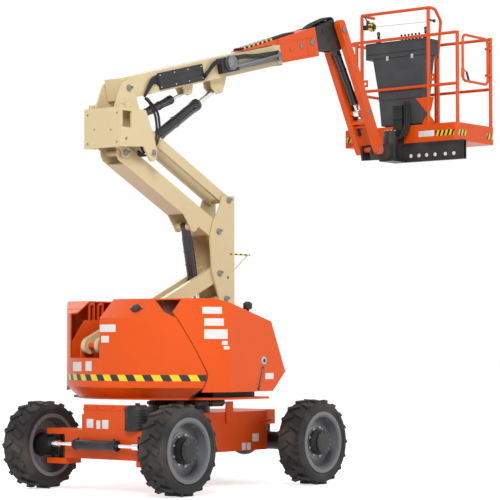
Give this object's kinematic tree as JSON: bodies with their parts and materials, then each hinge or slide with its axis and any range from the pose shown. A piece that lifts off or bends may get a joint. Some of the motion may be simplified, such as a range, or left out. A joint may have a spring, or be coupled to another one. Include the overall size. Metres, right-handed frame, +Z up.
{
  "type": "articulating boom lift",
  "caption": "Four-wheel articulating boom lift with a two-stage tower, telescoping main boom, hanging jib and a railed work platform with a control console.",
  "frame": {"origin": "centre of the footprint of the whole machine as parked, on the ground", "axes": "+X towards the platform, +Y to the machine's left side seen from the tail, +Z up"},
  "size_m": [6.2643, 2.043, 5.089],
  "materials": {
    "orange": "gloss paint",
    "cream": "gloss paint",
    "dark_steel": "satin black paint",
    "black_plastic": "textured",
    "cylinder_black": "gloss black",
    "chrome_rod": "polished",
    "rim_grey": "satin",
    "tyre": "matte rubber"
  },
  "bodies": {
    "chassis": {"chassis_frame": "orange", "swing_bearing": "dark_steel", "front_axle": "orange", "front_box": "orange", "front_canister": "dark_steel", "steer_barrel": "dark_steel", "rear_axle": "dark_steel"},
    "steer_rod": {"steer_rod": "chrome_rod"},
    "knuckle_left": {"knuckle_left": "dark_steel"},
    "knuckle_right": {"knuckle_right": "dark_steel"},
    "wheel_front_left": {"tyre_front_left": "tyre", "rim_front_left": "rim_grey"},
    "wheel_front_right": {"tyre_front_right": "tyre", "rim_front_right": "rim_grey"},
    "wheel_rear_left": {"tyre_rear_left": "tyre", "rim_rear_left": "rim_grey"},
    "wheel_rear_right": {"tyre_rear_right": "tyre", "rim_rear_right": "rim_grey"},
    "turntable": {"turntable_frame": "dark_steel", "counterweight": "dark_steel", "engine": "dark_steel", "tail_cover": "orange"},
    "hood_near": {"hood_near": "orange"},
    "hood_far": {"hood_far": "orange"},
    "lower_arm": {"lower_arm": "cream"},
    "lower_link": {"lower_link": "cream"},
    "lower_upright": {"lower_upright": "cream"},
    "mid_arm": {"mid_arm": "cream"},
    "mid_link": {"mid_link": "cream"},
    "upper_upright": {"upper_upright": "cream"},
    "main_boom": {"main_boom": "cream", "side_panel": "black_plastic", "hose_carrier": "black_plastic"},
    "fly_boom": {"fly_boom": "orange"},
    "jib_head": {"jib_head": "orange"},
    "jib_arm": {"jib_arm": "orange"},
    "rotator": {"rotator": "dark_steel"},
    "platform": {"platform_mount": "dark_steel", "platform_floor": "orange", "kick_plates": "orange", "rails_rear": "orange", "rails_far": "orange", "rails_front": "orange", "guard_hoop": "orange", "console": "black_plastic"},
    "gate": {"gate": "orange"},
    "tower_cylinder_barrel": {"tower_cylinder_barrel": "cylinder_black"},
    "tower_cylinder_rod": {"tower_cylinder_rod": "chrome_rod"},
    "lift_cylinder_barrel": {"lift_cylinder_barrel": "cylinder_black"},
    "lift_cylinder_rod": {"lift_cylinder_rod": "chrome_rod"},
    "level_cylinder_barrel": {"level_cylinder_barrel": "cylinder_black"},
    "level_cylinder_rod": {"level_cylinder_rod": "chrome_rod"},
    "jib_cylinder_barrel": {"jib_cylinder_barrel": "cylinder_black"},
    "jib_cylinder_rod": {"jib_cylinder_rod": "chrome_rod"}
  },
  "joints": [
    {"name": "steer_left", "type": "hinge", "parent": "chassis", "child": "knuckle_left", "pos_m": [-2.7275, 0.5825, 0.405], "axis": [0, 0, 1], "range_deg": [-38, 38]},
    {"name": "steer_right", "type": "hinge", "parent": "chassis", "child": "knuckle_right", "pos_m": [-2.7275, -0.6775, 0.405], "axis": [0, 0, 1], "range_deg": [-38.5, 38.5]},
    {"name": "steer_rod_slide", "type": "slide", "parent": "chassis", "child": "steer_rod", "axis": [0, 1, 0], "range_m": [-0.1043, 0.1043]},
    {"name": "wheel_front_left_spin", "type": "hinge", "parent": "knuckle_left", "child": "wheel_front_left", "pos_m": [-2.7275, 0.785, 0.405], "axis": [0, 1, 0], "continuous": true},
    {"name": "wheel_front_right_spin", "type": "hinge", "parent": "knuckle_right", "child": "wheel_front_right", "pos_m": [-2.7275, -0.88, 0.405], "axis": [0, 1, 0], "continuous": true},
    {"name": "wheel_rear_left_spin", "type": "hinge", "parent": "chassis", "child": "wheel_rear_left", "pos_m": [-0.7675, 0.785, 0.405], "axis": [0, 1, 0], "continuous": true},
    {"name": "wheel_rear_right_spin", "type": "hinge", "parent": "chassis", "child": "wheel_rear_right", "pos_m": [-0.7675, -0.88, 0.405], "axis": [0, 1, 0], "continuous": true},
    {"name": "swing", "type": "hinge", "parent": "chassis", "child": "turntable", "pos_m": [-1.7475, -0.0475, 0.765], "axis": [0, 0, 1], "range_deg": [-177.5, 177.5]},
    {"name": "hood_near_hinge", "type": "hinge", "parent": "turntable", "child": "hood_near", "pos_m": [-1.9475, -0.0195, 1.716], "axis": [-1, 0, 0], "range_deg": [0, 55]},
    {"name": "hood_far_hinge", "type": "hinge", "parent": "turntable", "child": "hood_far", "pos_m": [-1.9475, 0.5245, 1.709], "axis": [1, 0, 0], "range_deg": [0, 55]},
    {"name": "tower_raise", "type": "hinge", "parent": "turntable", "child": "lower_arm", "pos_m": [-2.5875, 0.2525, 1.32], "axis": [0, -1, 0], "range_deg": [-25, 30]},
    {"name": "lower_link_pivot", "type": "hinge", "parent": "turntable", "child": "lower_link", "pos_m": [-2.4875, 0.2525, 1.07], "axis": [0, -1, 0], "range_deg": [-25.3, 30.3]},
    {"name": "lower_upright_pivot", "type": "hinge", "parent": "lower_arm", "child": "lower_upright", "pos_m": [-0.95238, 0.2525, 2.03097], "axis": [0, -1, 0], "range_deg": [-30.3, 25.3]},
    {"name": "mid_arm_pivot", "type": "hinge", "parent": "lower_upright", "child": "mid_arm", "pos_m": [-0.96738, 0.2525, 2.44097], "axis": [0, 1, 0], "range_deg": [-31.6, 37.8]},
    {"name": "mid_link_pivot", "type": "hinge", "parent": "lower_upright", "child": "mid_link", "pos_m": [-0.81238, 0.2525, 2.75597], "axis": [0, 1, 0], "range_deg": [-31.6, 37.8]},
    {"name": "upper_upright_pivot", "type": "hinge", "parent": "mid_arm", "child": "upper_upright", "pos_m": [-2.32142, 0.2525, 3.11607], "axis": [0, 1, 0], "range_deg": [-37.8, 31.6]},
    {"name": "tower_cylinder_barrel_pivot", "type": "hinge", "parent": "mid_arm", "child": "tower_cylinder_barrel", "pos_m": [-1.31138, 0.2525, 2.47697], "axis": [0, -1, 0], "range_deg": [-27.2, 32.58]},
    {"name": "tower_cylinder_rod_slide", "type": "slide", "parent": "tower_cylinder_barrel", "child": "tower_cylinder_rod", "axis": [0.2155, 0, -0.9765], "range_m": [-0.1698, 0.2032]},
    {"name": "boom_raise", "type": "hinge", "parent": "upper_upright", "child": "main_boom", "pos_m": [-2.28142, 0.2525, 3.72507], "axis": [0, -1, 0], "range_deg": [-12, 40]},
    {"name": "lift_cylinder_barrel_pivot", "type": "hinge", "parent": "upper_upright", "child": "lift_cylinder_barrel", "pos_m": [-2.04942, 0.2525, 3.13007], "axis": [0, -1, 0], "range_deg": [-10.42, 34.02]},
    {"name": "lift_cylinder_rod_slide", "type": "slide", "parent": "lift_cylinder_barrel", "child": "lift_cylinder_rod", "axis": [0.85, 0, 0.5268], "range_m": [-0.1257, 0.4119]},
    {"name": "level_cylinder_barrel_pivot", "type": "hinge", "parent": "upper_upright", "child": "level_cylinder_barrel", "pos_m": [-2.03342, 0.2525, 3.48007], "axis": [0, -1, 0], "range_deg": [-12.88, 42.22]},
    {"name": "level_cylinder_rod_slide", "type": "slide", "parent": "level_cylinder_barrel", "child": "level_cylinder_rod", "axis": [0.9172, 0, 0.3985], "range_m": [-0.072, 0.233]},
    {"name": "telescope", "type": "slide", "parent": "main_boom", "child": "fly_boom", "axis": [0.9703, 0, 0.2419], "range_m": [0, 0.95]},
    {"name": "jib_head_level", "type": "hinge", "parent": "fly_boom", "child": "jib_head", "pos_m": [0.61737, 0.2525, 4.49935], "axis": [0, -1, 0], "range_deg": [-40.3, 12.3]},
    {"name": "jib_raise", "type": "hinge", "parent": "jib_head", "child": "jib_arm", "pos_m": [1.10537, 0.2525, 4.68735], "axis": [0, -1, 0], "range_deg": [-3, 118]},
    {"name": "jib_cylinder_barrel_pivot", "type": "hinge", "parent": "jib_head", "child": "jib_cylinder_barrel", "pos_m": [1.13537, 0.2525, 4.52035], "axis": [0, -1, 0], "range_deg": [-3.43, 123.52]},
    {"name": "jib_cylinder_rod_slide", "type": "slide", "parent": "jib_cylinder_barrel", "child": "jib_cylinder_rod", "axis": [0.5381, 0, -0.8429], "range_m": [-0.0096, 0.2621]},
    {"name": "rotator_level", "type": "hinge", "parent": "jib_arm", "child": "rotator", "pos_m": [1.77769, 0.2525, 3.45934], "axis": [0, -1, 0], "range_deg": [-118.3, 3.3]},
    {"name": "platform_rotate", "type": "hinge", "parent": "rotator", "child": "platform", "pos_m": [2.1825, 0.2525, 3.45934], "axis": [0, 0, 1], "range_deg": [-90, 90]},
    {"name": "gate_hinge", "type": "hinge", "parent": "platform", "child": "gate", "pos_m": [3.0465, -0.4815, 4.5], "axis": [0, 0, -1], "range_deg": [0, 90]}
  ],
  "couplings": [
    {"joint": "steer_right", "follows": "steer_left", "ratio": 1},
    {"joint": "steer_rod_slide", "follows": "steer_left", "m_per_rad": -0.15274},
    {"joint": "lower_link_pivot", "follows": "tower_raise", "ratio": 1},
    {"joint": "lower_upright_pivot", "follows": "tower_raise", "ratio": -1},
    {"joint": "mid_arm_pivot", "follows": "tower_raise", "ratio": 1.25},
    {"joint": "mid_link_pivot", "follows": "tower_raise", "ratio": 1.25},
    {"joint": "upper_upright_pivot", "follows": "tower_raise", "ratio": -1.25},
    {"joint": "tower_cylinder_barrel_pivot", "follows": "tower_raise", "ratio": 1.0761},
    {"joint": "tower_cylinder_rod_slide", "follows": "tower_raise", "m_per_rad": 0.38232},
    {"joint": "lift_cylinder_barrel_pivot", "follows": "boom_raise", "ratio": 0.843},
    {"joint": "lift_cylinder_rod_slide", "follows": "boom_raise", "m_per_rad": 0.58569},
    {"joint": "level_cylinder_barrel_pivot", "follows": "boom_raise", "ratio": 1.0479},
    {"joint": "level_cylinder_rod_slide", "follows": "boom_raise", "m_per_rad": 0.32952},
    {"joint": "jib_head_level", "follows": "boom_raise", "ratio": -1},
    {"joint": "jib_cylinder_barrel_pivot", "follows": "jib_raise", "ratio": 1.0442},
    {"joint": "jib_cylinder_rod_slide", "follows": "jib_raise", "m_per_rad": 0.12583},
    {"joint": "rotator_level", "follows": "jib_raise", "ratio": -1}
  ]
}
